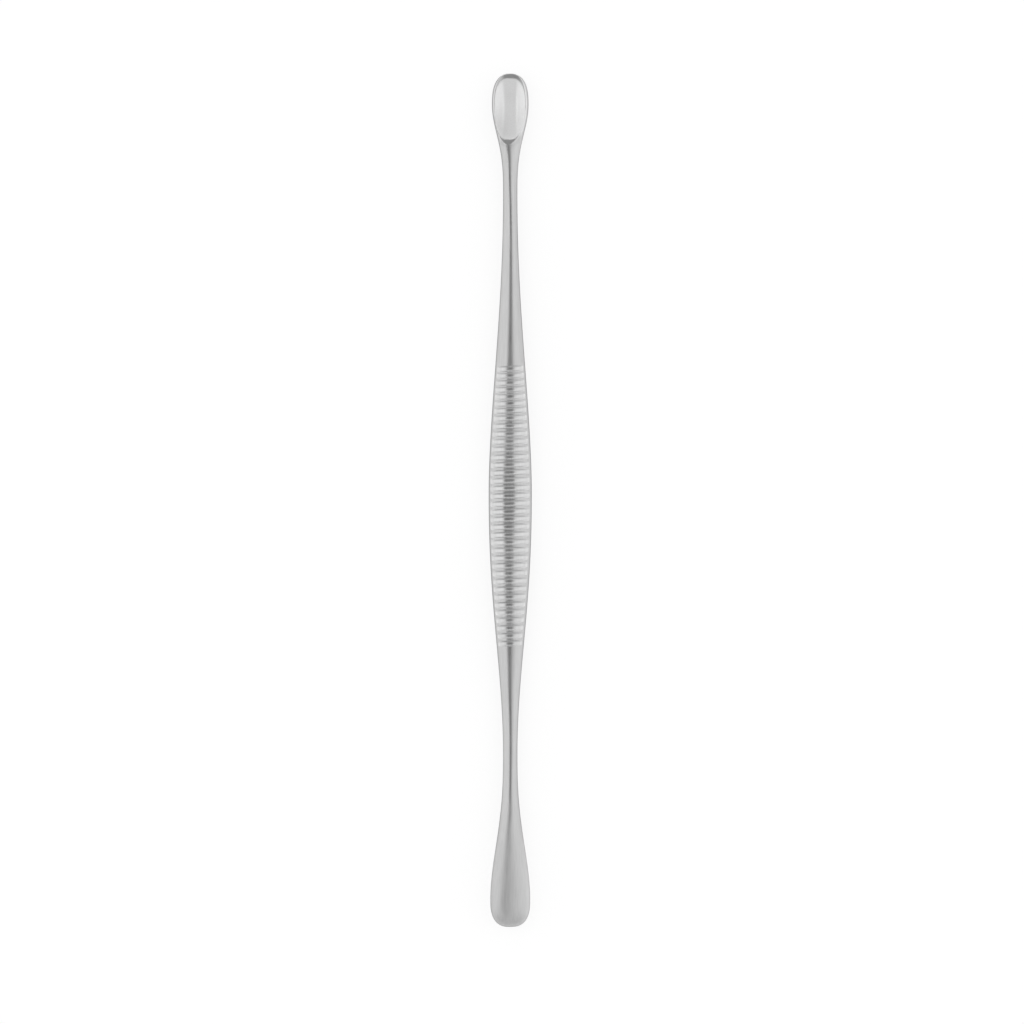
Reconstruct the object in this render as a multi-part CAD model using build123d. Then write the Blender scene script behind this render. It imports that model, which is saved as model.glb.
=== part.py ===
from build123d import *
from dataclasses import dataclass
from math import pi, radians, sin, sqrt
import os

# Double-ended bone scoop, forged and ground from one bar of stainless steel. It lies on the
# flattened belly of its grip: +Y towards the small oval cup, which opens up, -Y towards the
# large pear-shaped cup, which opens down, +X across, +Z up. All sizes in millimetres.

# Whole tool
length = 145.0
wall = 1.15                 # steel left under the deepest point of each hollow
bowl_flare = 0.7            # 0 gives a hollow upright sides at its rim, more lets them lean out
rim_land = 0.08             # flat left on each sharp rim where it is narrowest
rim_rise = 0.05             # how far each rim stands above the face of its neck
flank_lean = 0.5            # height of a rim, as a share of the full oval that its flank follows
shoulder = 4.2              # length over which a neck's flank steepens into the flank of its cup

# Grip
grip_width = 7.32
grip_thickness = 4.3
grip_crown = 0.06           # ground off each crowned face, which leaves a narrow flat to lie on
grip_offset = 1.6           # from the middle of the tool to the fattest point, towards the oval cup

# Finger grooves across both faces of the grip
groove_first = -24.28       # from the middle of the tool to the groove nearest the pear cup
groove_count = 31
groove_pitch = 1.319
groove_close_count = 6      # more grooves that follow those towards the oval cup, closer together
groove_close_pitch = 1.183
groove_width = 0.9
groove_depth = 0.22
groove_margin = 0.3         # smooth steel between a groove's end and the side of the grip
groove_slant = 2.3          # degrees that each groove leans away from straight across

# Small oval cup and its neck. Reaches are measured from the tip.
oval_width = 6.22
oval_nose = 5.3             # reach of the widest point
oval_depth = 1.2            # from the side line to the back of the cup
oval_hollow = 11.25         # reach of the foot of the hollow
oval_foot_bluntness = 2.6   # 2 rounds the foot of the hollow as an ellipse, more makes it squarer
oval_neck_width = 2.42
oval_neck_thickness = 2.3
oval_neck_reach = 20.4      # reach of the slimmest point
oval_swell = 1.5            # above 1, the cup widens later and faster
oval_taper = 0.86           # above 1, the grip stays fat for longer

# Large pear-shaped cup and its neck
pear_width = 6.78
pear_nose = 4.5
pear_depth = 2.1
pear_hollow = 15.5
pear_foot_bluntness = 2.0
pear_neck_width = 2.44
pear_neck_thickness = 2.0
pear_neck_reach = 29.4
pear_swell = 1.32
pear_taper = 1.17

nose_bluntness = 2.6        # of both tips, and of the hollows behind them
grip_step = 5.5             # spacing of the cross-sections along the grip
cup_step = 3.4              # along the necks and cups
shoulder_step = 1.05        # and along the shoulders between them
nose_angles = (24, 44, 61, 74, 83)  # where they stand round a tip


@dataclass
class End:
    """One end of the tool. Distances run from the middle, so `way` is 1 at +Y and -1 at -Y."""
    way: int
    width: float
    nose: float
    depth: float
    hollow: float
    foot_bluntness: float
    neck_width: float
    neck_thickness: float
    neck_reach: float
    swell: float
    taper: float

    @property
    def widest(self):
        return length / 2 - self.nose

    @property
    def neck(self):
        return length / 2 - self.neck_reach

    @property
    def rim(self):
        return self.neck_thickness / 2 + rim_rise

    @property
    def shoulder_start(self):
        return length / 2 - self.hollow - shoulder / 3


oval = End(1, oval_width, oval_nose, oval_depth, oval_hollow, oval_foot_bluntness,
           oval_neck_width, oval_neck_thickness, oval_neck_reach, oval_swell, oval_taper)
pear = End(-1, pear_width, pear_nose, pear_depth, pear_hollow, pear_foot_bluntness,
           pear_neck_width, pear_neck_thickness, pear_neck_reach, pear_swell, pear_taper)


def rise(at, start, end, pace=1.0):
    """Go from 0 at start to 1 at end, level at both: the square of a quarter sine wave."""
    way = min(max((at - start) / (end - start), 0.0), 1.0)
    return sin(pi / 2 * way**pace) ** 2


def blend(low, high, share):
    """The value that lies the given share of the way from low to high."""
    return low + (high - low) * share


def round_off(along, reach, bluntness):
    """Share of the full width that a rounded end keeps at a distance along its reach."""
    return (1 - (along / reach) ** bluntness) ** (1 / bluntness)


def side_of(y):
    """The end that station y belongs to, and its distance from the middle on that side."""
    end = oval if y > grip_offset else pear
    return end, y * end.way


def half_width(y):
    """Half the width: fat at the grip, slim at the neck, widest at the cup, round at the tip."""
    end, at = side_of(y)
    if at > end.widest:
        return end.width / 2 * round_off(at - end.widest, end.nose, nose_bluntness)
    if at > end.neck:
        share = rise(at, end.neck, end.widest, end.swell)
        return blend(end.neck_width, end.width, share) / 2
    share = rise(at, grip_offset * end.way, end.neck, end.taper)
    return blend(grip_width, end.neck_width, share) / 2


def half_height(y, face):
    """Height of the surface over the side line, on the upper (1) or the lower (-1) face.

    On the face where a cup opens, the flank follows a tall oval that its rim later cuts off, and
    keeps that height to the tip, so that the rim runs right round the cup.
    """
    end, at = side_of(y)
    neck = end.neck_thickness / 2
    if at < end.neck:
        share = rise(at, grip_offset * end.way, end.neck, end.taper)
        return blend(grip_thickness / 2 + grip_crown, neck, share)
    if face == end.way:
        share = rise(at, end.shoulder_start, end.shoulder_start + shoulder)
        return blend(neck, end.rim / flank_lean, share)
    height = blend(neck, end.depth, rise(at, end.neck, end.widest))
    if at > end.widest:
        height *= round_off(at - end.widest, end.nose, nose_bluntness)
    return height


def ellipse_section(y, width, over, under, height=0.0):
    """Cross-section at station y: half an ellipse over the side line and half of one under it."""
    upper = EllipticalCenterArc((0, 0), width, over, 0, arc_size=180)
    lower = EllipticalCenterArc((0, 0), width, under, 180, arc_size=180)
    return Plane((0, y, height), x_dir=(1, 0, 0), z_dir=(0, -1, 0)) * make_face(upper + lower)


def spaced(start, end, step):
    """Even stations after start, up to and with end, about a step apart."""
    count = max(round((end - start) / step), 2)
    return [blend(start, end, (i + 1) / count) for i in range(count)]


def round_stations(reach, bluntness):
    """Distances along a rounded end, closer together towards its tip."""
    return [reach * sin(radians(angle)) ** (2 / bluntness) for angle in nose_angles]


def cup_stations(end):
    """Distances from the middle, beyond the slimmest point of the neck and short of the tip."""
    steep = end.shoulder_start + shoulder
    places = spaced(end.neck, end.shoulder_start, cup_step)
    places += spaced(end.shoulder_start, steep, shoulder_step)
    places += spaced(steep, end.widest, cup_step)
    return places + [end.widest + along for along in round_stations(end.nose, nose_bluntness)]


def bar():
    """The bar from tip to tip, its faces ground but its hollows and grooves not yet cut.

    The surface runs straight between sections that stand so close that it stays within about
    a hundredth of a millimetre of the smooth curve.
    """
    marks = [-at for at in cup_stations(pear)][::-1] + [-pear.neck]
    marks += spaced(-pear.neck, grip_offset, grip_step) + spaced(grip_offset, oval.neck, grip_step)
    marks += cup_stations(oval)
    sections = [ellipse_section(y, half_width(y), half_height(y, 1), half_height(y, -1)) for y in marks]
    tips = Vertex(0, -length / 2, 0), Vertex(0, length / 2, 0)
    forged = loft([tips[0], *sections, tips[1]], ruled=True)
    return forged & Box(2 * grip_width, 2 * length, grip_thickness)


def hollow(end):
    """Cutter for a cup: all that stands above its rim, and the round-bottomed bowl below that.

    Across, the bowl is the lower part of an oval whose middle lies above the rim. Along it, its
    depth falls off towards both ends with the square of the distance.
    """
    share = sqrt(1 - flank_lean**2)
    radius = end.width / 2 * share - rim_land
    depth = end.rim + end.depth - wall
    reach = end.nose * share - rim_land
    foot = end.hollow - end.nose
    places = [(-along, foot, end.foot_bluntness) for along in round_stations(foot, end.foot_bluntness)]
    places = places[::-1] + [(0.0, reach, nose_bluntness)]
    places += [(along, reach, nose_bluntness) for along in round_stations(reach, nose_bluntness)]
    sections = []
    for along, extent, bluntness in places:
        across = radius * round_off(abs(along), extent, bluntness) / sqrt(1 - bowl_flare**2)
        down = depth * (1 - (along / extent) ** 2) / (1 - bowl_flare)
        sections.append(ellipse_section(along, across, down, down, bowl_flare * down))
    bowl = loft([Vertex(0, -foot, 0), *sections, Vertex(0, reach, 0)], ruled=True)
    above = Pos(0, end.neck - end.widest, 0) * Box(
        2 * end.width, 2 * end.neck_reach, 4 * end.rim, align=(Align.CENTER, Align.MIN, Align.MIN)
    )
    cutter = Pos(0, end.widest, end.rim) * (bowl + above)
    return cutter if end.way > 0 else Rot(X=180) * cutter


def groove(y, face):
    """Cutter for one groove: a sharp ring at full depth on the middle line.

    Its edge is the circle through that deepest point and the two points, near the sides of the
    grip, where the groove runs out.
    """
    width = half_width(y)
    end_x = width - groove_margin
    end_z = half_height(y, face) * sqrt(1 - (end_x / width) ** 2)
    deepest = min(half_height(y, face), grip_thickness / 2) - groove_depth
    drop = deepest - end_z
    edge = (end_x**2 + drop**2) / (2 * drop)
    ring = Polyline(
        (edge, 0),
        (edge + 2 * groove_depth, groove_width),
        (edge + 2 * groove_depth, -groove_width),
        close=True,
    )
    return Pos(0, y, face * (deepest - edge)) * Rot(Z=groove_slant) * revolve(make_face(ring), Axis.Y)


def grooves():
    """The cutters for every groove of both faces."""
    places = [groove_first + groove_pitch * i for i in range(groove_count)]
    places += [places[-1] + groove_close_pitch * (i + 1) for i in range(groove_close_count)]
    return [groove(y, face) for y in places for face in (1, -1)]


def scoop():
    """The whole tool, with its lowest point at height 0."""
    tool = bar() - hollow(oval) - hollow(pear) - grooves()
    return Pos(0, 0, grip_thickness / 2) * tool


os.makedirs("parts", exist_ok=True)
export_step(scoop(), "parts/scoop.step")
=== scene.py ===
from types import SimpleNamespace
import bpy
import numpy as np
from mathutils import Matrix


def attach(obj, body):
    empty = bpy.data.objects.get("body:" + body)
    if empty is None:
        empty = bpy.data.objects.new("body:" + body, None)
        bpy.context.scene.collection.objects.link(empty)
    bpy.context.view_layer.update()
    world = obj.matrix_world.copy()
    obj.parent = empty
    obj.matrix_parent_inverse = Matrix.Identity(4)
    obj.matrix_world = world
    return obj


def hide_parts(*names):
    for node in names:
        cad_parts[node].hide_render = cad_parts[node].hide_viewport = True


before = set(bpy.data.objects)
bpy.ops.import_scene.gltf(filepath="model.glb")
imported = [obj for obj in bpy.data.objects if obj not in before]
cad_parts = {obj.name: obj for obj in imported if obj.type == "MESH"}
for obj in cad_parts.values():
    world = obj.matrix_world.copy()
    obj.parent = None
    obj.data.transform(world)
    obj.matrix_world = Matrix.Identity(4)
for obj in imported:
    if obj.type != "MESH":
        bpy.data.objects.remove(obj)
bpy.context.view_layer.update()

# Bar. One bar of stainless steel, forged into a fat grip, two slim necks and two flattened heads,
# then ground and polished all over. Its sizes are in millimetres: +Y towards the small oval cup,
# which opens up, -Y towards the large pear-shaped cup, which opens down.

MILLIMETRE = 0.001
tiny = 1e-9                 # stands in for zero where something is divided by a size
half_length = 72.5
grip_width = 7.32
grip_thickness = 4.3
grip_crown = 0.06           # ground off each crowned face of the grip
flat_blend = 0.06           # height over which that flat runs out into the crown
grip_offset = 1.6           # the fattest point, measured towards the oval cup
wall = 1.15                 # steel under the deepest point of each hollow
rim_land = 0.08             # flat left on each rim where it is narrowest
rim_rise = 0.05             # how far each rim stands above the face of its neck
flank_lean = 0.5            # height of a rim, as a share of the full oval that its flank follows
shoulder = 4.2              # length over which a neck's flank steepens into the flank of its cup
nose_bluntness = 2.6        # power of the superellipse round each tip

oval = SimpleNamespace(
    way=1, width=6.22, nose=5.3, depth=1.2, hollow=11.25, foot_bluntness=2.6,
    neck_width=2.42, neck_thickness=2.3, neck_reach=20.4, swell=1.5, taper=0.86,
)
pear = SimpleNamespace(
    way=-1, width=6.78, nose=4.5, depth=2.1, hollow=15.5, foot_bluntness=2.0,
    neck_width=2.44, neck_thickness=2.0, neck_reach=29.4, swell=1.32, taper=1.17,
)
for end in (oval, pear):
    end.start = grip_offset * end.way
    end.neck = half_length - end.neck_reach
    end.widest = half_length - end.nose
    end.rim = end.neck_thickness / 2 + rim_rise
    end.shoulder_start = half_length - end.hollow - shoulder / 3


def rise(at, start, stop, pace=1.0):
    """Square of a quarter sine wave: 0 at start, 1 at stop, level at both."""
    way = np.clip((at - start) / (stop - start), 0, 1)
    return np.sin(np.pi / 2 * way**pace) ** 2


def keep(along, bluntness):
    """Superellipse: the share of the full size that is left at a share of a rounded reach."""
    return (1 - np.clip(along, 0, 1) ** bluntness) ** (1 / bluntness)


def half_width(end, at):
    """Sine blends from grip to neck to cup, times the superellipse of the tip."""
    size = grip_width + (end.neck_width - grip_width) * rise(at, end.start, end.neck, end.taper)
    size = size + (end.width - end.neck_width) * rise(at, end.neck, end.widest, end.swell)
    return size / 2 * keep((at - end.widest) / end.nose, nose_bluntness)


def half_height(end, at, cupped):
    """The same blends for the height over the side line, on the cupped face or on the back.

    Only the back rounds off towards the tip. The cupped face stays high, so that its rim runs
    right round the cup.
    """
    fat = grip_thickness / 2 + grip_crown
    slim = end.neck_thickness / 2
    size = fat + (slim - fat) * rise(at, end.start, end.neck, end.taper)
    open_share = rise(at, end.shoulder_start, end.shoulder_start + shoulder)
    back_share = rise(at, end.neck, end.widest)
    size = size + np.where(
        cupped, (end.rim / flank_lean - slim) * open_share, (end.depth - slim) * back_share
    )
    return size * np.where(cupped, 1, keep((at - end.widest) / end.nose, nose_bluntness))


# Columns run round a section from the crest of the cupped face down the left side, under the
# back, and up the right side. Over a cup they start and end on its rim in place of the crest.
quadrant = 22               # columns in a quarter of a section
beside_crest = 0.985        # where one more column stands, just beside the crest or the rim
share_up = np.append(np.linspace(0, 1, quadrant)[:-1], [beside_crest, 1.0])
elevation = np.concatenate([share_up[::-1], -share_up[1:], -share_up[-2::-1], share_up[1:]])
side = np.where(np.arange(elevation.size) <= 2 * quadrant, -1.0, 1.0)


def crest_angle(end, at):
    """Angle at which a section meets the plane of the rim, or a right angle where it is lower."""
    return np.arcsin(np.clip(end.rim / np.maximum(half_height(end, at, True), end.rim), 0, 1))


def flatten(z, level):
    """Grind heights down to a level on both faces: a smooth minimum of the height and the level."""
    blend = np.maximum(flat_blend - np.abs(np.abs(z) - level), 0) / flat_blend
    return np.sign(z) * (np.minimum(np.abs(z), level) - blend**2 * flat_blend / 4)


def section(end, at):
    """Half ellipses over and under the side line, their crowns ground to a soft flat."""
    at = np.broadcast_to(at, (len(at), elevation.size))
    upper = elevation > 0
    top = np.where(at > end.neck, crest_angle(end, at), np.pi / 2)
    angle = elevation * np.where(upper, top, np.pi / 2)
    x = side * half_width(end, at) * np.cos(angle)
    z = half_height(end, at, upper) * np.sin(angle)
    return np.stack([x, at, flatten(z, grip_thickness / 2)], axis=-1)


# Finger grooves. 37 shallow grooves are ground across each face of the grip with a narrow round
# wheel, a little askew. Each runs out just short of the sides, and no two are quite alike.

groove_first = -24.28       # the groove nearest the pear cup, from the middle of the tool
groove_count = 31
groove_pitch = 1.319
groove_close_count = 6      # more that follow towards the oval cup, closer together
groove_close_pitch = 1.183
groove_width = 0.92         # before its edges are rounded
groove_depth = 0.22
groove_margin = 0.3         # smooth steel between a groove's end and the side of the grip
groove_lean = 0.04          # how far a groove climbs towards +Y for each millimetre across
groove_floor = 5.0          # power of the profile: 2 is a round floor, more is flatter
groove_seam = 0.05          # half width that a groove's rows keep where the groove has run out
edge_round = 0.17           # how far above and below a groove's edge the polishing rounds it
edge_gain = 6               # that rounding is full from one part in this many of a groove's depth
side_fade = 0.25            # elevation under which a groove straightens towards the side line
dark_line = -0.2            # x of the dark line that the light draws down the grip
floor_painted_shine = (0.3, 1.3)    # distances from it where the painted shine on the groove floors starts, and is full

# Rows of points across a groove, as shares of half its width, and beside it, from its edge.
across_groove = np.array([-1, -0.94, -0.86, -0.75, -0.6, -0.35, 0, 0.35, 0.6, 0.75, 0.86, 0.94, 1])
beside_groove = np.array([0.025, 0.05, 0.08])
groove_y = groove_first + groove_pitch * np.arange(groove_count)
close_y = groove_y[-1] + groove_close_pitch * np.arange(1, groove_close_count + 1)
groove_y = np.append(groove_y, close_y)

# How far the grooves differ: in place, in lean, and in depth as a share. One draw for each face.
shift_spread, lean_spread, cut_spread = 0.02, 0.006, 0.04
dice = np.random.default_rng(7)
groove_shift = dice.normal(0, shift_spread, (groove_y.size, 2))
groove_slant = dice.normal(groove_lean, lean_spread, (groove_y.size, 2))
groove_cut = groove_depth * (1 + dice.normal(0, cut_spread, (groove_y.size, 2)))


def grooved_rows(end):
    """Rows from the fattest section to the last groove: points, closeness to an edge, and depth.

    A groove's floor is a ring about the grip: its radius at a distance from the groove's middle
    is the radius at the deepest point plus the depth times that distance, as a share of half the
    groove's width, to a power. A point of the bar that lies above the ring is drawn in to it,
    and near the groove's edge a little further, by a smooth minimum of the two radii. Where the
    grip is ground flat, the floor is flat too. The depth is a share of a groove's full depth,
    times a painted shine that fades to nothing at the dark line. It lightens the colour of the
    groove floors, partly for their fresher grinding and partly as a painted highlight.
    """
    mine = groove_y * end.way > end.start
    order = np.argsort(groove_y[mine] * end.way)
    middle = (groove_y[mine] * end.way)[order][:, None]
    face = np.where(elevation * end.way > 0, 0, 1)
    full = np.clip(np.abs(elevation) / side_fade, 0, 1)
    cut = groove_cut[mine][order][:, face]
    shift = groove_shift[mine][order][:, face] * full
    base = section(end, middle)
    shift = shift + groove_slant[mine][order][:, face] * full * base[..., 0] * end.way
    wide = half_width(end, middle)
    high = half_height(end, middle, True)
    end_x = wide - groove_margin
    end_z = high * np.sqrt(1 - (end_x / wide) ** 2)
    deepest = high - cut
    drop = deepest - end_z
    edge = (end_x**2 + drop**2) / (2 * drop)
    centre = np.where(elevation > 0, 1, -1) * (deepest - edge)
    level = np.minimum(high, grip_thickness / 2) - cut
    above = np.maximum(np.hypot(base[..., 0], base[..., 2] - centre) - edge, 0)
    reach = groove_width / 2 * (above / cut) ** (1 / groove_floor)
    seam = np.maximum(reach, groove_seam)
    middle = middle + shift

    inner = seam[:, None] * across_groove[:, None]
    outer = seam[:, None] + beside_groove[:, None]
    inner = np.concatenate([-outer[:, ::-1], inner, outer], axis=1)
    along = middle[:, None] + inner
    point = section(end, along.reshape(-1, elevation.size)).reshape(*along.shape, 3)
    radius = np.hypot(point[..., 0], point[..., 2] - centre[:, None])
    off = np.abs(along - middle[:, None]) / (groove_width / 2)
    floor = edge[:, None] + cut[:, None] * off**groove_floor
    blend = np.maximum(edge_round - np.abs(radius - floor), 0) / edge_round
    blend = blend * np.clip(above / cut * edge_gain, 0, 1)[:, None]
    pull = (np.minimum(floor, radius) - blend**2 * edge_round / 4) / radius
    # Painted shine: the groove floors are lightened in colour, except near the dark line.
    painted_shine = rise(np.abs(point[..., 0] - dark_line), *floor_painted_shine)
    depth = (1 - pull) * radius / groove_depth * painted_shine
    point[..., 0] = point[..., 0] * pull
    point[..., 2] = centre[:, None] + (point[..., 2] - centre[:, None]) * pull
    flat = level[:, None] + cut[:, None] * np.minimum(off, 1) ** groove_floor
    point[..., 2] = flatten(point[..., 2], flat)
    close = blend**2

    middle_land = groove_y[np.argsort(np.abs(groove_y - grip_offset))[:2]].mean()
    first = section(end, np.full((1, 1), end.start))
    first[..., 1] = end.way * (middle_land + groove_lean * full * first[..., 0])
    between = (along[:-1, -1:] + along[1:, :1]) / 2
    rows = [(first, 0 * first[..., 0], 0 * first[..., 0])]
    for i in range(len(middle)):
        rows.append((point[i], close[i], depth[i]))
        if i < len(between):
            rows.append((section(end, between[i]), 0 * between[i], 0 * between[i]))
    return [np.concatenate(part) for part in zip(*rows)]


# Cups. The hollows are milled into the flattened heads and left with a knife-like rim, then the
# heads' backs are finished softer than the necks and the hollows are blasted matt.

neck_step, shoulder_step = 0.6, 0.18    # spacing of the rows along the necks, and up to the rims
groove_clear = 0.1          # from the last groove to the first plain row
foot_rows = 4.5             # rows for each millimetre from a hollow's foot to its widest point
tip_rows = 28               # rows from there to its tip
floor_half_width = 1.1      # of the nearly flat floor of each hollow
floor_turn = 0.12           # how gently that floor turns up into the walls
land_rings = np.array([0.15, 0.85, 1.0])    # rings of points across a flat rim, as shares of it
lip_ring, ring_steps = 0.985, 19            # and in the bowl: one by its lip, and the rest
bowl_rings = np.append(lip_ring, np.sin(np.linspace(np.pi / 2, 0, ring_steps + 1)[1:]))
rim_band = 0.3              # width of the brighter steel along the outside of a rim
lip_power = 24              # how closely the wear inside a hollow keeps to its edge
narrow_land = 0.5           # width at which a rim is half rounded over, and so half soft and half lit by painted light
horn_start, horn_span = 0.9, 0.7    # its left side is softer too, and lit by painted light, from this far left, for this far
horn_gain = 0.6             # and by so much for each millimetre
back_start = 1.0            # past the slimmest point of a neck, where the back starts to soften
back_full = 4.0             # before the widest point of a cup, where its back is wholly soft
flank_painted_shine = 0.8           # painted shine of a cup's flank, where the floor of a groove has about 1
wall_painted_shine, wall_painted_tilt = 0.28, 0.3   # painted shine of a hollow's walls, and how much more of it on the right
wall_turn = (-0.2, 0.3)     # from the edge of the floor, where the painted shine of the walls starts, and is full
foot_shade, foot_tilt = 0.85, 0.9   # shade at a hollow's foot, and how much less on the right
shade_start = 1.0           # past the widest point of a cup towards its tip, where it starts
shade_full = 0.87           # and where it is full, as a share of the way to the foot
crest_wander = (            # places along the tool, and how far aside the crest stands at each
    (-70, -0.28), (-64, -0.18), (-58, -0.14), (-51, 0.0), (-42, 0.07), (-30, -0.03), (-12, -0.07),
    (5, -0.06), (18, 0.0), (46, 0.09), (57, -0.06), (62, -0.22), (66, -0.08),
)


def even(start, stop, step):
    """Even places after start, up to and with stop, about a step apart."""
    count = round((stop - start) / step)
    return start + (stop - start) * np.arange(1, count + 1) / count


def cup_rows(end):
    """Distances of the open rows from the middle, and the same as signed shares of the hollow."""
    way = np.arcsin(np.sqrt(rim_rise / (end.rim / flank_lean - end.neck_thickness / 2))) / (np.pi / 2)
    foot = end.shoulder_start + shoulder * way
    count = round((end.hollow - end.nose) * foot_rows)
    back = np.sin(np.linspace(np.pi / 2, 0, count)) ** (2 / end.foot_bluntness)
    front = np.sin(np.linspace(0, np.pi / 2, tip_rows)[1:]) ** (2 / nose_bluntness)
    at = np.append(end.widest - (end.widest - foot) * back, end.widest + end.nose * front)
    return at, np.append(-back, front)


def cup_patch(end, at, share):
    """The flat rim and the bowl, as rings from the rim's outer edge in to the deepest point.

    The hollow's edge is a superellipse each way from its widest point. Across the bowl, the wall
    climbs from the floor as one branch of a hyperbola, and the depth falls off towards both ends
    with the square of the distance.
    """
    at = np.append(at, at[-2:0:-1])
    share = np.append(share, share[-2:0:-1])
    sign = np.append(-np.ones(len(at) // 2 + 1), np.ones(len(at) // 2 - 1))
    span = np.sqrt(1 - flank_lean**2)
    radius = end.width / 2 * span - rim_land
    depth = end.rim + end.depth - wall
    foot, reach = end.hollow - end.nose, end.nose * span - rim_land
    bluntness = np.where(share < 0, end.foot_bluntness, nose_bluntness)
    edge_x = sign * radius * keep(np.abs(share), bluntness)
    edge_at = end.widest + np.where(share < 0, foot, reach) * share
    outer_x = sign * half_width(end, at) * np.cos(crest_angle(end, at))

    ring = np.append(0, land_rings)[:, None]
    land = np.stack([outer_x + (edge_x - outer_x) * ring, at + (edge_at - at) * ring,
                     np.full((len(ring), len(at)), end.rim)], -1)
    ring = np.append(1, bowl_rings)[:, None]
    half = np.maximum(radius * keep(np.abs(share) * ring, bluntness), tiny)
    low, mid, high = (off + np.hypot(off, floor_turn) for off in (
        -floor_half_width, np.minimum(np.abs(edge_x) * ring, half) - floor_half_width,
        half - floor_half_width))
    down = depth * (1 - (share * ring) ** 2) * (high - mid) / (high - low)
    bowl = np.stack([edge_x * ring, end.widest + (edge_at - end.widest) * ring, end.rim - down], -1)
    return land, bowl


def quads(rows, columns, start, wrap=False):
    """Faces of a grid of points, row by row, that look along row step cross column step."""
    number = start + np.arange(rows * columns).reshape(rows, columns)
    if wrap:
        number = np.append(number, number[:, :1], axis=1)
    corners = number[:-1, :-1], number[1:, :-1], number[1:, 1:], number[:-1, 1:]
    return np.stack(corners, -1).reshape(-1, 4)


def bar_marks(end, skin, plain, open_row, close, depth):
    """Worn edge, shine and softness of the bar: three marks of 0 to 1 at every point of its skin.

    The wear is e to the power of minus the distance from the rim over the width of its band. The
    painted shine of a flank is full down to the side line and gone half way down the back, and a
    back is half soft at the side line and wholly so an eighth of the way down.
    """
    to_rim = (1 - elevation) * crest_angle(end, plain) * half_width(end, plain)
    edge = np.exp(-to_rim / rim_band) * (open_row & (elevation > 0))
    upright = np.clip(2 * elevation + 1, 0, 1)
    # Painted shine: the cups' flanks are lightened in colour.
    flank = rise(plain, end.shoulder_start, end.shoulder_start + shoulder) * upright
    underneath = np.clip(0.5 - 4 * elevation, 0, 1)
    soft_and_painted_light = rise(skin[..., 1], end.neck + back_start, end.widest - back_full) * underneath
    return np.concatenate([close, edge]), np.concatenate([depth, flank_painted_shine * flank]), soft_and_painted_light


def land_marks(land):
    """The same marks of a flat rim: all worn, and soft where it is narrow or far to the left."""
    everywhere = np.ones(land.shape[:2])
    width = np.hypot(*(land[-1] - land[0])[:, :2].T)
    left_horn = np.clip(-land[0, :, 0] - horn_start, 0, horn_span)
    # The softness also makes the rim lighter in colour: painted light where it is narrow and on its
    # left.
    soft_and_painted_light = np.clip(1.5 - width / narrow_land + horn_gain * left_horn, 0, 1)
    return everywhere, 0 * everywhere, soft_and_painted_light * everywhere


def bowl_marks(end, bowl):
    """The same marks of a bowl: worn at its lip, shining on its walls, shaded towards its foot."""
    lip = np.broadcast_to(np.append(1, bowl_rings)[:, None] ** lip_power, bowl.shape[:2])
    # Painted shine on the walls, more on the right, and painted shade towards the foot, more on the
    # left.
    on_wall = rise(np.abs(bowl[..., 0]), *(floor_half_width + turn for turn in wall_turn))
    painted_shine = on_wall * (wall_painted_shine + wall_painted_tilt * bowl[..., 0] / end.width)
    foot = end.widest - shade_full * (end.hollow - end.nose)
    to_foot = rise(bowl[..., 1], end.widest + shade_start, foot)
    return lip, painted_shine, to_foot * (foot_shade - foot_tilt * bowl[..., 0] / end.width)


def half_scoop(end):
    """Points, faces, finish numbers and marks of one half, turned about X for the pear end."""
    point, close, depth = grooved_rows(end)
    past = point[-1, :, 1].max() + groove_clear
    open_at, share = cup_rows(end)
    plain = np.concatenate([
        even(past, end.neck, neck_step), even(end.neck, end.shoulder_start, neck_step),
        even(end.shoulder_start, open_at[0], shoulder_step), open_at[1:],
    ])[:, None] * np.ones(elevation.size)
    skin = np.concatenate([point, section(end, plain)])
    land, bowl = cup_patch(end, open_at, share)
    parts = (bar_marks(end, skin, plain, plain > open_at[0], close, depth),
             land_marks(land), bowl_marks(end, bowl))
    marks = {name: np.concatenate([values.ravel() for values in same])
             for name, same in zip(("edge", "fresh_and_painted_shine", "soft_and_painted_light"), zip(*parts))}

    points = [skin.reshape(-1, 3), land.reshape(-1, 3), bowl.reshape(-1, 3)]
    faces = [quads(*skin.shape[:2], 0)]
    faces.append(quads(*land.shape[:2], points[0].shape[0], wrap=True))
    faces.append(quads(*bowl.shape[:2], points[0].shape[0] + points[1].shape[0], wrap=True))
    slots = np.repeat([0, 1, 2], [len(part) for part in faces])
    points = np.concatenate(points) * [1, end.way, end.way]
    return points, np.concatenate(faces), slots, marks


def lean(points):
    """Draw the crest of each face aside, by a share of the half width that wanders along the tool.

    A point moves by that share times the square of its height, as a share of the crest's height,
    and the other way on the lower face. The sides stay where they are.
    """
    x, y, z = points.T
    share = np.full_like(y, crest_wander[0][1])
    for (start, here), (stop, there) in zip(crest_wander, crest_wander[1:]):
        share += (there - here) * rise(y, start, stop)
    near_oval = y > grip_offset
    width = np.where(near_oval, *(half_width(end, y * end.way) for end in (oval, pear)))
    crest = np.where(near_oval, *(
        half_height(end, y * end.way, z * end.way > 0) for end in (oval, pear)))
    height = np.clip(z / np.maximum(crest, tiny), -1, 1)
    return np.stack([x + share * width * height * np.abs(height), y, z], axis=-1)


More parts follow.
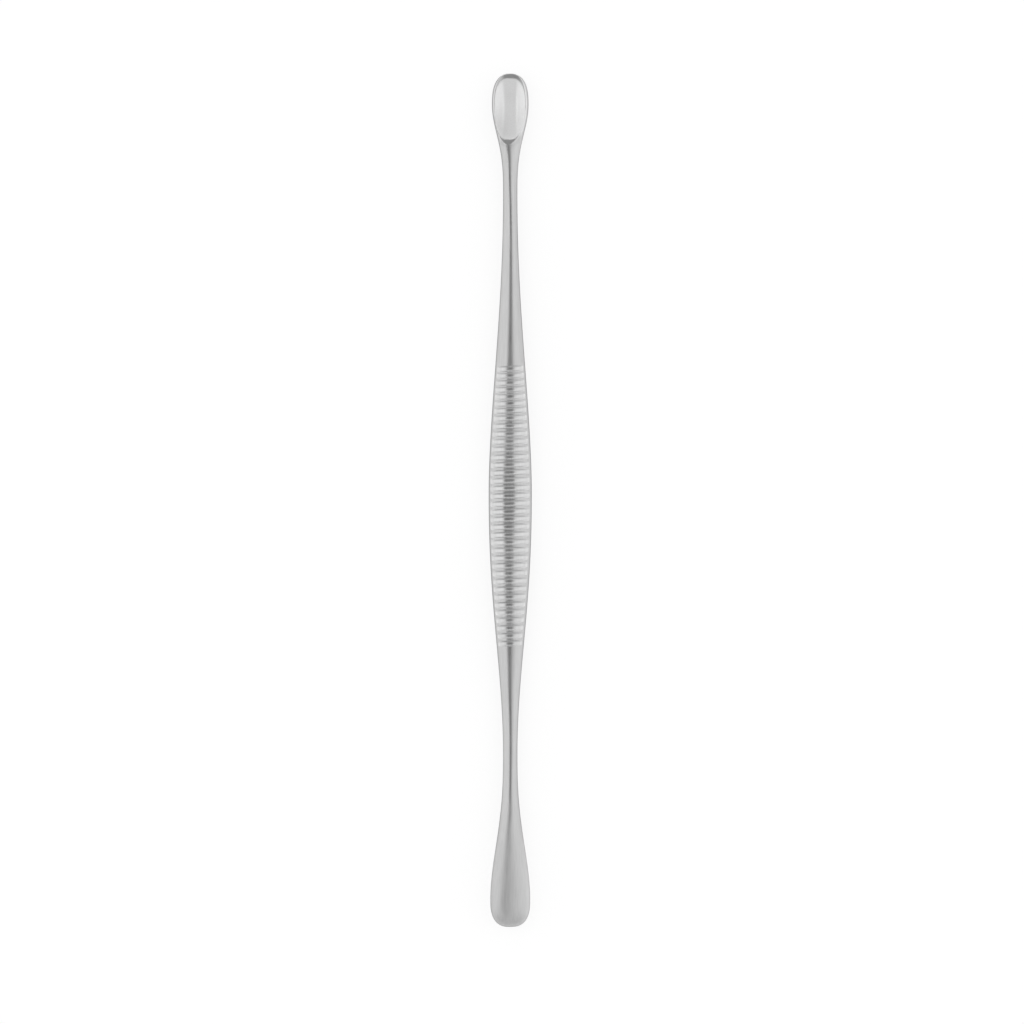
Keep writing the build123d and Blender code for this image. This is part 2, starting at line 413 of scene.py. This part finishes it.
def closed_mesh(name, halves):
    """One closed mesh, without the doubled points where its parts meet.

    Points that agree to six decimals become one. A face that loses a corner by that becomes a
    triangle, and one that loses two is left out.
    """
    decimals = 6
    points = lean(np.concatenate([half[0] for half in halves]))
    faces = np.concatenate([halves[0][1], halves[1][1] + len(halves[0][0])])
    slots = np.concatenate([half[2] for half in halves])
    rounded, first, number = np.unique(
        np.round(points, decimals) + 0.0, axis=0, return_index=True, return_inverse=True)
    faces = number.reshape(-1)[faces]
    corner = faces != np.roll(faces, -1, axis=1)
    whole, three = corner.sum(axis=1) == 4, corner.sum(axis=1) == 3
    triangles = faces[three][corner[three]].reshape(-1, 3)
    rounded = (rounded + [0, 0, grip_thickness / 2]) * MILLIMETRE
    mesh = bpy.data.meshes.new(name)
    mesh.from_pydata(rounded.tolist(), [], faces[whole].tolist() + triangles.tolist())
    mesh.polygons.foreach_set("material_index", np.append(slots[whole], slots[three]).astype(np.int32))
    for mark in halves[0][3]:
        values = np.concatenate([half[3][mark] for half in halves])[first]
        mesh.attributes.new(mark, "FLOAT", "POINT").data.foreach_set("value", values.astype(np.float32))
    mesh.polygons.foreach_set("use_smooth", np.ones(len(mesh.polygons), dtype=bool))
    mesh.update()
    return mesh


scoop_mesh = closed_mesh("bone_scoop", [half_scoop(oval), half_scoop(pear)])
scoop = bpy.data.objects.new("bone_scoop", scoop_mesh)
bpy.context.scene.collection.objects.link(scoop)


# Finishes of the steel. The bar is polished along its length with fine belts, which leaves faint
# lengthwise lines, and its worn edges are a little brighter. The hollows are blasted matt. Light
# and shade are painted into the colour too: shine on the groove floors, the cups' flanks and the
# hollows' walls, lighter rims where narrow and on the left, and shade towards each hollow's foot.

def node(tree, kind, place, **values):
    """Add a node at a place in the tree, and set its properties and named input values."""
    made = tree.nodes.new(kind)
    made.location = place
    for key, value in values.items():
        if key in made.inputs:
            made.inputs[key].default_value = value
        else:
            setattr(made, key, value)
    return made


def polish_lines():
    """Group: noise stretched along the tool, for faint polishing lines, over a slow cloudiness.

    Its inputs say how many lines or clouds go on a metre.
    """
    tree = bpy.data.node_groups.new("polish lines", "ShaderNodeTree")
    for name, value in (("Across", 9000.0), ("Along", 180.0), ("Cloud", 160.0)):
        socket = tree.interface.new_socket(name, in_out="INPUT", socket_type="NodeSocketFloat")
        socket.default_value = value
    for name in ("Lines", "Clouds"):
        tree.interface.new_socket(name, in_out="OUTPUT", socket_type="NodeSocketFloat")
    into = node(tree, "NodeGroupInput", (-800, 0))
    out = node(tree, "NodeGroupOutput", (400, 0))
    place = node(tree, "ShaderNodeTexCoord", (-800, 300))
    stretch = node(tree, "ShaderNodeCombineXYZ", (-600, 0))
    scaled = node(tree, "ShaderNodeVectorMath", (-400, 100), operation="MULTIPLY")
    lines = node(tree, "ShaderNodeTexNoise", (-200, 100), Scale=1.0, Detail=2.0, Roughness=0.6)
    clouds = node(tree, "ShaderNodeTexNoise", (-200, -200), Detail=3.0, Roughness=0.55)
    link = tree.links.new
    link(into.outputs["Across"], stretch.inputs["X"])
    link(into.outputs["Along"], stretch.inputs["Y"])
    link(into.outputs["Across"], stretch.inputs["Z"])
    link(place.outputs["Object"], scaled.inputs[0])
    link(stretch.outputs[0], scaled.inputs[1])
    link(scaled.outputs[0], lines.inputs["Vector"])
    link(place.outputs["Object"], clouds.inputs["Vector"])
    link(into.outputs["Cloud"], clouds.inputs["Scale"])
    link(lines.outputs["Fac"], out.inputs["Lines"])
    link(clouds.outputs["Fac"], out.inputs["Clouds"])
    return tree


def edge_wear():
    """Group: where handling has brightened the edges, from the mesh's own mark and a noise.

    The noise breaks the mark up into patches of about 1.4 mm, which keep 0.45 to 1 of it.
    """
    tree = bpy.data.node_groups.new("edge wear", "ShaderNodeTree")
    amount = tree.interface.new_socket("Amount", in_out="INPUT", socket_type="NodeSocketFloat")
    amount.default_value = 1.0
    tree.interface.new_socket("Wear", in_out="OUTPUT", socket_type="NodeSocketFloat")
    into = node(tree, "NodeGroupInput", (-600, -200))
    out = node(tree, "NodeGroupOutput", (400, 0))
    place = node(tree, "ShaderNodeTexCoord", (-800, 100))
    mark = node(tree, "ShaderNodeAttribute", (-600, 200), attribute_name="edge")
    patches = node(tree, "ShaderNodeTexNoise", (-600, 0), Scale=700.0, Detail=2.0)
    spread = node(tree, "ShaderNodeMapRange", (-400, 0),
                  **{"From Min": 0.3, "From Max": 0.65, "To Min": 0.45})
    broken = node(tree, "ShaderNodeMath", (-200, 100), operation="MULTIPLY")
    scaled = node(tree, "ShaderNodeMath", (0, 0), operation="MULTIPLY", use_clamp=True)
    link = tree.links.new
    link(place.outputs["Object"], patches.inputs["Vector"])
    link(patches.outputs["Fac"], spread.inputs["Value"])
    link(mark.outputs["Fac"], broken.inputs[0])
    link(spread.outputs["Result"], broken.inputs[1])
    link(broken.outputs[0], scaled.inputs[0])
    link(into.outputs["Amount"], scaled.inputs[1])
    link(scaled.outputs[0], out.inputs["Wear"])
    return tree


polish, wear = polish_lines(), edge_wear()


def over_noise(tree, place, low, high):
    """Map range that goes from low to high over the values that a noise mostly takes."""
    return node(tree, "ShaderNodeMapRange", place,
                **{"From Min": 0.3, "From Max": 0.7, "To Min": low, "To Max": high})


def steel(name, colour, roughness, worn_colour, soft_and_painted_colour, soft_roughness, cloud_spread,
          line_spread, relief, across, along):
    """A steel finish: colour and roughness vary with the lines, the clouds and the edge wear.

    Where the mesh is marked as soft, both go over to those of a second finish. That second colour
    is lighter on the ground rim, as painted light, and darker in the blasted hollow, as painted
    shade. Where it is marked as fresh, the colour is up to most_bright times as bright: partly the
    fresher grinding of the groove floors, and otherwise painted shine on them, on the cups' flanks
    and on the hollows' walls. The specular tint keeps the steel from turning white where it is
    seen at a glancing angle. The relief of the lines is in metres, and across and along say how
    many of them go on a metre.
    """
    shade_spread, most_bright = 0.05, 1.22
    material = bpy.data.materials.new(name)
    material.use_nodes = True
    tree = material.node_tree
    shader = tree.nodes["Principled BSDF"]
    shader.inputs["Metallic"].default_value = 1.0
    shader.inputs["Specular Tint"].default_value = (0.28, 0.28, 0.28, 1)
    grain = node(tree, "ShaderNodeGroup", (-1100, 0), node_tree=polish, Across=across, Along=along)
    worn = node(tree, "ShaderNodeGroup", (-1100, 300), node_tree=wear)
    fresh_and_painted_shine = node(tree, "ShaderNodeAttribute", (-1100, 500), attribute_name="fresh_and_painted_shine")
    soft_and_painted_light = node(tree, "ShaderNodeAttribute", (-1100, -300), attribute_name="soft_and_painted_light")
    shade = over_noise(tree, (-800, 100), colour * (1 - shade_spread), colour * (1 + shade_spread))
    # Brighter where marked fresh: painted shine, and on the groove floors partly their fresher
    # grinding.
    bright = node(tree, "ShaderNodeMapRange", (-800, 500), **{"To Min": 1.0, "To Max": most_bright})
    # Second colour where marked soft: painted light on the rims, painted shade in the hollows.
    frost_and_painted_light = node(tree, "ShaderNodeMapRange", (-800, 700),
                 **{"To Min": 1.0, "To Max": soft_and_painted_colour / colour})
    bare = node(tree, "ShaderNodeMath", (-500, 500), operation="MULTIPLY")
    dull_and_painted_light = node(tree, "ShaderNodeMath", (-600, 300), operation="MULTIPLY")
    tone = node(tree, "ShaderNodeMix", (-400, 300), data_type="FLOAT", B=worn_colour)
    tint = node(tree, "ShaderNodeCombineColor", (-200, 300))
    clouds = over_noise(tree, (-800, -100), roughness - cloud_spread, roughness + cloud_spread)
    lines = over_noise(tree, (-800, -500), -line_spread, line_spread)
    both = node(tree, "ShaderNodeMath", (-600, -200), operation="ADD")
    softer = node(tree, "ShaderNodeMath", (-400, -200), operation="MULTIPLY_ADD")
    softer.inputs[1].default_value = soft_roughness - roughness
    bump = node(tree, "ShaderNodeBump", (-400, -500), Strength=1.0, Distance=relief)
    link = tree.links.new
    link(grain.outputs["Lines"], shade.inputs["Value"])
    link(fresh_and_painted_shine.outputs["Fac"], bright.inputs["Value"])
    link(soft_and_painted_light.outputs["Fac"], frost_and_painted_light.inputs["Value"])
    link(shade.outputs["Result"], dull_and_painted_light.inputs[0])
    link(frost_and_painted_light.outputs["Result"], dull_and_painted_light.inputs[1])
    link(worn.outputs["Wear"], tone.inputs["Factor"])
    link(dull_and_painted_light.outputs[0], tone.inputs["A"])
    link(tone.outputs["Result"], bare.inputs[0])
    link(bright.outputs["Result"], bare.inputs[1])
    for channel in ("Red", "Green", "Blue"):
        link(bare.outputs[0], tint.inputs[channel])
    link(tint.outputs["Color"], shader.inputs["Base Color"])
    link(grain.outputs["Clouds"], clouds.inputs["Value"])
    link(grain.outputs["Lines"], lines.inputs["Value"])
    link(clouds.outputs["Result"], both.inputs[0])
    link(lines.outputs["Result"], both.inputs[1])
    link(soft_and_painted_light.outputs["Fac"], softer.inputs[0])
    link(both.outputs[0], softer.inputs[2])
    link(softer.outputs[0], shader.inputs["Roughness"])
    link(grain.outputs["Lines"], bump.inputs["Height"])
    link(bump.outputs["Normal"], shader.inputs["Normal"])
    return material


# The ground rim's second colour is lighter, painted light where a rim is narrow or far left. The
# blasted hollow's is darker, painted shade towards each hollow's foot.
for finish in (
    steel("polished steel", colour=0.58, roughness=0.3, worn_colour=0.86, soft_and_painted_colour=0.6,
          soft_roughness=0.47, cloud_spread=0.012, line_spread=0.012, relief=0.000002,
          across=5000.0, along=260.0),
    steel("ground rim", colour=0.62, roughness=0.3, worn_colour=0.7, soft_and_painted_colour=0.88,
          soft_roughness=0.75, cloud_spread=0.012, line_spread=0.01, relief=0.000001,
          across=9000.0, along=300.0),
    steel("blasted hollow", colour=0.89, roughness=0.53, worn_colour=0.89, soft_and_painted_colour=0.7,
          soft_roughness=0.53, cloud_spread=0.03, line_spread=0.02, relief=0.000004,
          across=7000.0, along=7000.0),
):
    scoop.data.materials.append(finish)

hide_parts("scoop")
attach(scoop, "root")


# Floor. A plain white sweep that the tool lies on. It keeps the tool's soft shadow, and some white
# of its own is added only where the camera or a gloss sees it. From below it is clear.

floor_radius = 6.0          # in metres
floor_corners = 96
floor_colour = 0.3          # dark enough to throw little light up at the tool
floor_own_white = 0.765     # what it then lacks to white, in the eyes of the camera
around = np.linspace(0, 2 * np.pi, floor_corners + 1)[:-1]
floor_mesh = bpy.data.meshes.new("floor")
floor_mesh.from_pydata(
    (floor_radius * np.stack([np.cos(around), np.sin(around), 0 * around], -1)).tolist(), [],
    [list(range(len(around)))],
)
floor = bpy.data.objects.new("floor", floor_mesh)
bpy.context.scene.collection.objects.link(floor)
floor_material = bpy.data.materials.new("white floor")
floor_material.use_nodes = True
floor_tree = floor_material.node_tree
floor_tree.nodes.clear()
paint = node(floor_tree, "ShaderNodeBsdfDiffuse", (-400, 200), Color=(floor_colour,) * 3 + (1,))
glow = node(floor_tree, "ShaderNodeEmission", (-400, 0), Color=(1, 1, 1, 1))
path = node(floor_tree, "ShaderNodeLightPath", (-1000, 0))
seen = node(floor_tree, "ShaderNodeMath", (-800, 0), operation="MAXIMUM")
lift = node(floor_tree, "ShaderNodeMath", (-600, 0), operation="MULTIPLY")
lift.inputs[1].default_value = floor_own_white
total = node(floor_tree, "ShaderNodeAddShader", (-200, 100))
below = node(floor_tree, "ShaderNodeNewGeometry", (-200, 400))
clear = node(floor_tree, "ShaderNodeBsdfTransparent", (-200, -100))
one_way = node(floor_tree, "ShaderNodeMixShader", (0, 100))
surface = node(floor_tree, "ShaderNodeOutputMaterial", (200, 100))
floor_tree.links.new(path.outputs["Is Camera Ray"], seen.inputs[0])
floor_tree.links.new(path.outputs["Is Glossy Ray"], seen.inputs[1])
floor_tree.links.new(seen.outputs[0], lift.inputs[0])
floor_tree.links.new(lift.outputs[0], glow.inputs["Strength"])
floor_tree.links.new(paint.outputs[0], total.inputs[0])
floor_tree.links.new(glow.outputs[0], total.inputs[1])
floor_tree.links.new(below.outputs["Backfacing"], one_way.inputs[0])
floor_tree.links.new(total.outputs[0], one_way.inputs[1])
floor_tree.links.new(clear.outputs[0], one_way.inputs[2])
floor_tree.links.new(one_way.outputs[0], surface.inputs["Surface"])
floor_mesh.materials.append(floor_material)


# Light. A white tent round the tool, with a dark slot overhead that the camera looks through.
# The slot draws the dark line down the middle of polished steel. Right of it the tent is dimmer:
# close beside the slot in its half towards the pear cup, and near the floor in the other half. Its
# two ends are dimmer too. Where the camera sees past the tool and the floor, it sees plain white.

tent_side = 1.05            # brightness of its sides
tent_slot = (               # degrees off the vertical, towards +X, and the brightness there
    (-90, tent_side), (-30, tent_side), (-24, 1.2), (-17, 1.2), (-12, 0.11), (9, 0.1),
    (15, tent_side), (50, tent_side), (75, 0.93), (90, 0.84),
)
tent_slot_low = (           # the same in the half towards the pear cup
    (-90, tent_side), (-30, tent_side), (-24, 1.2), (-17, 1.2), (-12, 0.11), (9, 0.1),
    (14, 0.76), (27, 0.84), (40, 1.1), (90, 1.1),
)
tent_end_low, tent_end_high = 0.68, 0.9    # brightness of its ends, at -Y and at +Y
half_from, half_to = 0.055, -0.02          # y of a direction, where one half turns into the other
end_from, end_to = 0.18, 0.55              # distance along y where the tent turns into its ends
turn_span = 0.4                            # y up to which the two ends blend into each other
world = bpy.data.worlds.new("white tent")
bpy.context.scene.world = world
world.use_nodes = True
tent = world.node_tree
backdrop = tent.nodes["Background"]
backdrop.inputs["Color"].default_value = (1, 1, 1, 1)
look = node(tent, "ShaderNodeTexCoord", (-1400, 0))
axes = node(tent, "ShaderNodeSeparateXYZ", (-1200, 0))
angle = node(tent, "ShaderNodeMath", (-1000, 200), operation="ARCTAN2")
position = node(tent, "ShaderNodeMath", (-800, 200), operation="MULTIPLY_ADD")
position.inputs[1].default_value = 1 / np.pi
position.inputs[2].default_value = 0.5
low_half = node(tent, "ShaderNodeMapRange", (-800, -700), interpolation_type="SMOOTHSTEP",
                **{"From Min": half_from, "From Max": half_to})
ramps = []
for profile, place in ((tent_slot, (-600, 400)), (tent_slot_low, (-600, 100))):
    ramp = node(tent, "ShaderNodeValToRGB", place)
    stops = ramp.color_ramp.elements
    for degrees, _ in profile[1:-1]:
        stops.new(0.5 + degrees / 180)
    for stop, (degrees, brightness) in zip(stops, profile):
        stop.color = (brightness,) * 3 + (1,)
    ramps.append(ramp)
across = node(tent, "ShaderNodeMix", (-450, 200), data_type="FLOAT")
lengthwise = node(tent, "ShaderNodeMath", (-1000, -100), operation="ABSOLUTE")
near_end = node(tent, "ShaderNodeMapRange", (-800, -100), interpolation_type="SMOOTHSTEP",
                **{"From Min": end_from, "From Max": end_to})
which_end = node(tent, "ShaderNodeMapRange", (-800, -400),
                 **{"From Min": -turn_span, "From Max": turn_span,
                    "To Min": tent_end_low, "To Max": tent_end_high})
light = node(tent, "ShaderNodeMix", (-300, 0), data_type="FLOAT")
behind = node(tent, "ShaderNodeMix", (-150, 0), data_type="FLOAT", B=1.0)
who_looks = node(tent, "ShaderNodeLightPath", (-300, 300))
join = tent.links.new
join(look.outputs["Generated"], axes.inputs[0])
join(axes.outputs["X"], angle.inputs[0])
join(axes.outputs["Z"], angle.inputs[1])
join(angle.outputs[0], position.inputs[0])
for ramp, side_socket in zip(ramps, ("A", "B")):
    join(position.outputs[0], ramp.inputs["Fac"])
    join(ramp.outputs["Color"], across.inputs[side_socket])
join(axes.outputs["Y"], low_half.inputs["Value"])
join(low_half.outputs["Result"], across.inputs["Factor"])
join(axes.outputs["Y"], lengthwise.inputs[0])
join(lengthwise.outputs[0], near_end.inputs["Value"])
join(axes.outputs["Y"], which_end.inputs["Value"])
join(near_end.outputs["Result"], light.inputs["Factor"])
join(across.outputs["Result"], light.inputs["A"])
join(which_end.outputs["Result"], light.inputs["B"])
join(who_looks.outputs["Is Camera Ray"], behind.inputs["Factor"])
join(light.outputs["Result"], behind.inputs["A"])
join(behind.outputs["Result"], backdrop.inputs["Strength"])
bpy.context.scene.view_settings.view_transform = "Standard"


# Camera. A long lens straight over the tool, with the oval cup at the top of the picture. It
# stands a little off the middle, so that the tool has the same margins as in the photograph.

camera_place = (0.0003, -0.00196, 0.9693)  # in metres
lens = bpy.data.cameras.new("camera")
lens.lens = 200.0
lens.sensor_width = 36.0
camera = bpy.data.objects.new("camera", lens)
camera.location = camera_place
bpy.context.scene.collection.objects.link(camera)
bpy.context.scene.camera = camera
